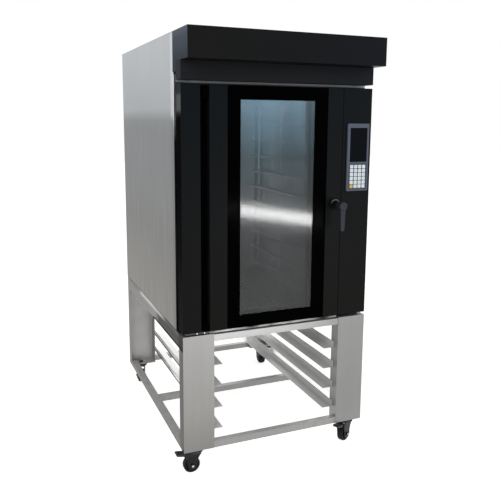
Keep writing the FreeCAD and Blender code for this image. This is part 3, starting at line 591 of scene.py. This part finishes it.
facePaint = {  # node: finishes and the faces that get them, the first that fits
    "stand_frame": [
        # stand: every paint here is painted light or shade on the one stand steel
        ("railLine", onRailLine), ("railStrip", onRailStrip), ("rail", onSideRail),
        ("tubeBright", onFarTube), ("tubeTop", onTubeTop), ("rearWeb", onRearWeb),
        ("legSide", onFrontLegSide), ("standSide", onStandSide),
        ("legLeft", onLeftLeg), ("legRight", onRightLeg), ("railFront", onStandFront),
    ],
    "stand_runners": [
        # runners: painted shadow on the lower edges, painted light on the ledges, their fronts and the right
        # runners
        ("runnerLine", onRunnerLine), ("ledge", onLeftRunner), ("ledgeFront", onLedgeFront),
        ("lowUpright", onLowUpright), ("shelfLow", onLowShelf), ("shelfThird", onThirdShelf),
        ("shelfSecond", onSecondShelf), ("shelf", onShelf),
    ],
    "side_panels": [
        # side panels: painted highlight on the front edge, painted reflection on the front hem
        ("casingEdge", looksFront), ("casingFlange", onFrontHem), ("casingPlain", onRightSide),
    ],
    # hinge ears black; the door's right end black as painted shade in the gap
    "door_frame": [("fitting", onHingeEar), ("fitting", onDoorEnd), ("liner", onDoorBack)],
    # chassis: gutter with painted broken highlights; side faces black as painted shade in the seams
    "chassis": [("trim", onGutter), ("fitting", looksAside), ("base", onBaseUnderside)],
    # left panel returns: painted highlight near the top
    "left_front_panel": [("returnSide", looksAside)],
    # control panel's left return black as painted shade in the gap
    "control_panel": [("fitting", looksLeft)],
    # hood cheek: painted reflection
    "hood": [("hoodSide", looksLeft)],
    # fascia returns: painted shading
    "fascia": [("frontSide", looksAside)],
    "door_fittings": [("hingePlate", onHingePlate)],
}
cuts = {  # node: axis and place of each plane that parts the paint
    "stand_frame": [
        ("Z", railLow), ("Z", railLineTop), ("Z", railStripLow), ("Y", 0.0), ("X", paint["tubeFrom"]),
    ],
    "stand_runners": [("Y", paint["ledgeFrom"])] + [
        ("Z", runnerLow + paint["runnerPitch"] * i + paint["runnerLine"]) for i in range(paint["runners"])
    ],
    "side_panels": [("Y", sideFront + paint["hem"])],
}
axes = {"X": Vector((1, 0, 0)), "Y": Vector((0, 1, 0)), "Z": Vector((0, 0, 1))}


def cutAcross(bm, axis, place):
    whole = bm.verts[:] + bm.edges[:] + bm.faces[:]
    bmesh.ops.bisect_plane(bm, geom=whole, plane_co=axes[axis] * place, plane_no=axes[axis])


def addObject(name, data):
    new = bpy.data.objects.new(name, data)
    bpy.context.scene.collection.objects.link(new)
    return new


edges = {
    "radius": {  # node: edge radius in metres
        "hood": 0.0025, "fascia": 0.002, "left_front_panel": 0.002, "control_panel": 0.002,
        "side_panels": 0.0009, "top_panel": 0.0009, "back_panel": 0.0006, "chassis": 0.0005,
        "stand_frame": 0.0018, "stand_runners": 0.0008, "door_frame": 0.0008, "handle_rose": 0.0015,
        "controller_bezel": 0.0008, "tray_racks": 0.0004, "door_fittings": 0.0006,
    },
    "segments": 2,
    "sharp": 50,              # degrees from which an edge is eased
    "merge": 0.00002,
    "flat": 0.5,              # degrees up to which triangles join to one face
}


def easeEdges(name, radius):
    # merged copy of the CAD piece with a fine bevel that catches the light
    source = nodes[name]
    copy = addObject(name + "_eased", source.data.copy())
    bm = bmesh.new()
    bm.from_mesh(copy.data)
    bmesh.ops.remove_doubles(bm, verts=bm.verts, dist=edges["merge"])
    bmesh.ops.dissolve_limit(bm, angle_limit=math.radians(edges["flat"]), verts=bm.verts, edges=bm.edges)
    for axis, place in cuts.get(name, []):
        cutAcross(bm, axis, place)
    bm.normal_update()
    paints = facePaint.get(name, [])
    for face in bm.faces:
        face.smooth = False
        for index, (finishName, test) in enumerate(paints, 1):
            if test(face.calc_center_median(), face.normal):
                face.material_index = index
                break
    for finishName, test in paints:
        copy.data.materials.append(finishSet[finishName])
    bm.to_mesh(copy.data)
    bm.free()
    bevel = copy.modifiers.new("eased edges", "BEVEL")
    bevel.width = radius
    bevel.segments = edges["segments"]
    bevel.limit_method = "ANGLE"
    bevel.angle_limit = math.radians(edges["sharp"])
    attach(copy, source["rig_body"])
    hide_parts(name)


for name, radius in edges["radius"].items():
    easeEdges(name, radius)
print("edges eased on", len(edges["radius"]), "pieces")


# helpers for new pieces

def newPiece(name, bm, body, finishes):
    bmesh.ops.recalc_face_normals(bm, faces=bm.faces)
    mesh = bpy.data.meshes.new(name)
    bm.to_mesh(mesh)
    bm.free()
    for finish in finishes:
        mesh.materials.append(finishSet[finish])
    piece = addObject(name, mesh)
    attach(piece, body)
    return piece


def slab(low, high):
    bm = bmesh.new()
    low, high = Vector(low), Vector(high)
    place = Matrix.Translation((low + high) / 2) @ Matrix.Diagonal((*(high - low), 1.0))
    bmesh.ops.create_cube(bm, size=1.0, matrix=place)
    return bm


# door glass

glass = {
    "sight": (-0.1745, 0.17375, 0.709, 1.636),      # clear area x0, x1, z0, z1
    "outerThick": 0.0054, "innerThick": 0.005,
    "innerLap": 0.0215, "innerRise": 0.0195,        # inner pane past the clear area
    "alpha": 0.57, "roughness": 0.09, "specular": 0.6,
    "tintAndPaintedReflection": [  # dark tint with a cloudy painted reflection, teal and lighter towards the top; from the bottom up
        (0.709, (0.008, 0.01, 0.01)), (0.95, (0.008, 0.01, 0.01)), (1.2, (0.012, 0.022, 0.024)),
        (1.4, (0.022, 0.06, 0.078)), (1.55, (0.1, 0.2, 0.265)), (1.636, (0.2, 0.34, 0.45)),
    ],
    "veilWidths": [  # the tint and painted reflection fade over the right reveal, as painted shade
        (-0.18, (1.0, 1.0, 1.0)), (0.127, (1.0, 1.0, 1.0)), (0.134, (0.42, 0.4, 0.4)),
        (0.152, (0.42, 0.4, 0.4)), (0.162, (0.56, 0.54, 0.52)), (0.1738, (0.6, 0.58, 0.55)),
    ],
    "cloudStretch": (1.0, 1.0, 0.45), "cloudScale": 6.0, "cloudDetail": 4.0, "clouds": (0.72, 1.2),
    "innerColor": (0.3, 0.34, 0.35), "innerAlpha": 0.12, "innerRoughness": 0.08, "innerSpecular": 0.4,
    "smearStretch": (1.0, 1.0, 0.3), "smearScale": 9.0, "smears": (0.05, 0.16),
}


def glassFinish():
    finish = newFinish("tinted glass, painted reflection", glass["tintAndPaintedReflection"][0][1], 0.0, glass["roughness"], glass["specular"],
                       glass["alpha"])
    # tint and painted reflection, dimmed over the right reveal
    tintAndPaintedReflection = multiply(finish, axisRamp(finish, glass["tintAndPaintedReflection"]), axisRamp(finish, glass["veilWidths"], "X"))
    cloud = objectNoise(finish, glass["cloudStretch"], glass["cloudScale"], glass["cloudDetail"])
    toned = multiply(finish, tintAndPaintedReflection, spread(finish, cloud, *glass["clouds"]))
    wire(finish, toned, shaderOf(finish).inputs["Base Color"])
    return finish


def clearFinish():
    finish = newFinish("inner glass", glass["innerColor"], 0.0, glass["innerRoughness"],
                       glass["innerSpecular"], glass["innerAlpha"])
    smear = objectNoise(finish, glass["smearStretch"], glass["smearScale"])
    wire(finish, spread(finish, smear, *glass["smears"]), shaderOf(finish).inputs["Roughness"])
    return finish


finishSet["glass"] = glassFinish()
finishSet["clearGlass"] = clearFinish()


def doorGlass():
    low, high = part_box("door_glass")
    x0, x1, z0, z1 = glass["sight"]
    bm = slab(low, (high.x, low.y + glass["outerThick"], high.z))
    for axis, place in (("X", x0), ("X", x1), ("Z", z0), ("Z", z1)):
        cutAcross(bm, axis, place)
    for face in bm.faces:
        c = face.calc_center_median()
        face.material_index = 1 if x0 < c.x < x1 and z0 < c.z < z1 else 0
    outer = newPiece("door_outer_pane", bm, "door", ["print", "glass"])
    lap, rise = glass["innerLap"], glass["innerRise"]
    bm = slab((x0 - lap, high.y - glass["innerThick"], z0 - rise), (x1 + lap, high.y, z1 + rise))
    inner = newPiece("door_inner_pane", bm, "door", ["clearGlass"])
    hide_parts("door_glass")
    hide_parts("door_glass")


doorGlass()
print("door glass set")


# bolts and screws

bolts = {
    "axle": {"radius": 0.0065, "thick": 0.0012, "sides": 6},
    "hinge": {"radius": 0.003, "thick": 0.002, "sides": 12},
    "back": {"radius": 0.0045, "thick": 0.0006, "sides": 16},
    "taper": 0.92,            # outer radius of a head, as a share of the inner one
    "axleEnd": 0.028,         # from the wheel's middle to the end of the axle
    "hingeSpots": (-0.371, -0.338), "hingeDrop": 0.004,
    "backInset": 0.016, "backRows": 6,
}


def addBolt(name, kind, spot, axis, body, finish):
    # head on a face at spot, pointing along axis
    head = bolts[kind]
    axis = Vector(axis)
    turn = axes["Z"].rotation_difference(axis).to_matrix().to_4x4()
    place = Matrix.Translation(Vector(spot) + axis * head["thick"] / 2) @ turn
    bm = bmesh.new()
    bmesh.ops.create_cone(bm, cap_ends=True, segments=head["sides"], radius1=head["radius"],
                          radius2=head["radius"] * bolts["taper"], depth=head["thick"], matrix=place)
    newPiece(name, bm, body, [finish])


for corner in ("front_left", "front_right", "rear_left", "rear_right"):
    roll = next(j for j in frame["joints"] if j["name"] == "wheel_roll_" + corner)
    for side, sign in (("a", 1), ("b", -1)):
        axis = Vector(roll["axis"]) * sign
        spot = Vector(roll["pos_m"]) + axis * bolts["axleEnd"]
        addBolt("axle_bolt_" + corner + "_" + side, "axle", spot, axis, "caster_" + corner, "axleBolt")

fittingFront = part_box("door_fittings")[0].y
for index, x in enumerate(bolts["hingeSpots"], 1):
    spot = (x, fittingFront, doorLow.z - bolts["hingeDrop"])
    addBolt("hinge_bolt_%d" % index, "hinge", spot, (0, -1, 0), "oven", "bolt")

backLow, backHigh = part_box("back_panel")
inset, rows = bolts["backInset"], bolts["backRows"]
for row in range(rows):
    z = backLow.z + inset + row * (backHigh.z - backLow.z - 2 * inset) / (rows - 1)
    for side, x in (("left", backLow.x + inset), ("right", backHigh.x - inset)):
        addBolt("back_screw_%s_%d" % (side, row + 1), "back", (x, backHigh.y, z), (0, 1, 0), "oven", "bolt")
print("bolts set")


# rim of the handle's rose

rim = {
    "discThick": 0.01, "radius": 0.0215, "wire": 0.0024, "wireSides": 10, "steps": 40,
    "roughness": 0.35, "grain": 0.05, "specular": 0.05,
    "tones": [  # heights from the rose's middle, lit from above
        (-0.024, (0.003, 0.003, 0.0035)), (0.004, (0.005, 0.005, 0.006)),
        (0.014, (0.1, 0.102, 0.108)), (0.024, (0.16, 0.162, 0.168)),
    ],
}


def roseRim():
    low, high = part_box("handle_rose")
    center = Vector(((low.x + high.x) / 2, high.y - rim["discThick"], (low.z + high.z) / 2))
    tones = [(center.z + height, color) for height, color in rim["tones"]]
    finishSet["roseRim"] = brushedSteel("rose rim", tones, even, rim["roughness"], rim["grain"], 0.0,
                                        specular=rim["specular"])
    bm = bmesh.new()
    place = Matrix.Translation(center + Vector((rim["radius"], 0, 0)))
    loop = bmesh.ops.create_circle(bm, segments=rim["wireSides"], radius=rim["wire"], matrix=place)
    bmesh.ops.spin(bm, geom=loop["verts"] + bm.edges[:], cent=center, axis=axes["Y"], angle=2 * math.pi,
                   steps=rim["steps"], use_merge=True)
    for face in bm.faces:
        face.smooth = True
    newPiece("rose_rim", bm, "door", ["roseRim"])


roseRim()
print("rose rim set")


# key marks

keyMarks = {
    "height": 0.0085, "proud": 0.0002, "resolution": 2,
    "rows": ["<>+-", "=o/x", "-789", "-456", "-123", "o0.-"],
}


def keyMark(text, row, col):
    low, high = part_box("key_r%d_c%d" % (row, col))
    curve = bpy.data.curves.new("mark", "FONT")
    curve.body = text
    curve.size = keyMarks["height"]
    curve.extrude = keyMarks["proud"]
    curve.align_x, curve.align_y = "CENTER", "CENTER"
    curve.resolution_u = keyMarks["resolution"]
    lettering = addObject("mark", curve)
    bpy.context.view_layer.update()
    mesh = bpy.data.meshes.new_from_object(lettering)
    bpy.data.objects.remove(lettering)
    place = Vector(((low.x + high.x) / 2, low.y, (low.z + high.z) / 2))
    mesh.transform(Matrix.Translation(place) @ Matrix.Rotation(math.radians(90), 4, "X"))
    mesh.materials.clear()
    mesh.materials.append(finishSet["keyMark"])
    mark = addObject("mark_r%d_c%d" % (row, col), mesh)
    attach(mark, "button_r%d_c%d" % (row, col))


for row, texts in enumerate(keyMarks["rows"], 1):
    for col, text in enumerate(texts, 1):
        keyMark(text, row, col)
print("key marks set")


# camera, light, floor

view = {
    "place": (-1.1512, -2.9592, 1.5536),
    "yaw": 22.657, "pitch": -9.194, "roll": 0.41,      # degrees; yaw from +Y towards +X
    "lens": 44.847, "sensor": 36.0, "clipEnd": 60.0,
    "shiftX": 0.0013, "shiftY": -0.0588,
}


def setCamera():
    yaw, pitch, roll = (math.radians(view[k]) for k in ("yaw", "pitch", "roll"))
    ahead = Vector((math.sin(yaw) * math.cos(pitch), math.cos(yaw) * math.cos(pitch), math.sin(pitch)))
    right = Vector((math.cos(yaw), -math.sin(yaw), 0.0))
    up = right.cross(ahead)
    rightTurned = math.cos(roll) * right + math.sin(roll) * up
    upTurned = math.cos(roll) * up - math.sin(roll) * right
    data = bpy.data.cameras.new("camera")
    data.lens, data.sensor_width, data.sensor_fit = view["lens"], view["sensor"], "HORIZONTAL"
    data.shift_x, data.shift_y = view["shiftX"], view["shiftY"]
    data.clip_end = view["clipEnd"]
    camera = addObject("camera", data)
    turn = Matrix((rightTurned, upTurned, -ahead)).transposed().to_4x4()
    camera.matrix_world = Matrix.Translation(view["place"]) @ turn
    bpy.context.scene.camera = camera


studio = {
    "worldLight": 0.5,
    "lamps": [  # name, place, target, width, height, power, roll in degrees
        ("key", (-3.2, -3.6, 3.6), (0, 0, 1.0), 3.0, 3.0, 115.0, 0.0),
        ("fill", (3.4, -3.0, 2.2), (0, 0, 1.0), 3.0, 3.0, 36.0, 0.0),
        ("strip", (1.086, -2.864, 0.75), (0.0, -0.52, 1.14), 0.95, 0.085, 7.5, -7.0),
        ("chamber", (-0.19, -0.4, 1.17), (0.25, 0.1, 1.17), 0.04, 0.85, 2.4, 0.0),
    ],
    "floorSize": 40.0, "floorColor": (0.9, 0.9, 0.9), "floorRoughness": 0.9,
    "floorWhite": 0.7,        # added to what is seen of the floor
}


def areaLamp(name, place, target, width, height, power, roll):
    data = bpy.data.lights.new(name, "AREA")
    data.shape = "RECTANGLE"
    data.size, data.size_y, data.energy = width, height, power
    lamp = addObject(name, data)
    aim = (Vector(target) - Vector(place)).to_track_quat("-Z", "Y").to_matrix().to_4x4()
    turn = aim @ Matrix.Rotation(math.radians(roll), 4, "Z")
    lamp.matrix_world = Matrix.Translation(place) @ turn
    lamp.visible_camera = False


def shownRays(tree):
    # 1 for what is seen directly, in a reflection or through glass
    path = tree.nodes.new("ShaderNodeLightPath")
    total = path.outputs["Is Camera Ray"]
    for ray in ("Is Glossy Ray", "Is Transmission Ray"):
        more = tree.nodes.new("ShaderNodeMath")
        more.operation = "MAXIMUM"
        tree.links.new(total, more.inputs[0])
        tree.links.new(path.outputs[ray], more.inputs[1])
        total = more.outputs["Value"]
    return total


def shownLevel(tree, hidden, shown, into):
    level = tree.nodes.new("ShaderNodeMapRange")
    level.inputs["To Min"].default_value = hidden
    level.inputs["To Max"].default_value = shown
    tree.links.new(shownRays(tree), level.inputs["Value"])
    tree.links.new(level.outputs["Result"], into)


def setFloor():
    bm = bmesh.new()
    bmesh.ops.create_grid(bm, x_segments=1, y_segments=1, size=studio["floorSize"] / 2)
    mesh = bpy.data.meshes.new("floor")
    bm.to_mesh(mesh)
    bm.free()
    floor = addObject("floor", mesh)
    pale = newFinish("pale floor", studio["floorColor"], 0.0, studio["floorRoughness"], 0.0)
    inputs = shaderOf(pale).inputs
    inputs["Emission Color"].default_value = (1.0, 1.0, 1.0, 1.0)
    shownLevel(pale.node_tree, 0.0, studio["floorWhite"], inputs["Emission Strength"])
    mesh.materials.append(pale)


def setLight():
    scene = bpy.context.scene
    scene.view_settings.view_transform = "Standard"
    scene.world = bpy.data.worlds.new("studio")
    scene.world.use_nodes = True
    back = scene.world.node_tree.nodes["Background"]
    back.inputs["Color"].default_value = (1.0, 1.0, 1.0, 1.0)
    shownLevel(scene.world.node_tree, studio["worldLight"], 1.0, back.inputs["Strength"])
    for lamp in studio["lamps"]:
        areaLamp(*lamp)


setCamera()
setFloor()
setLight()
print("camera and light set")
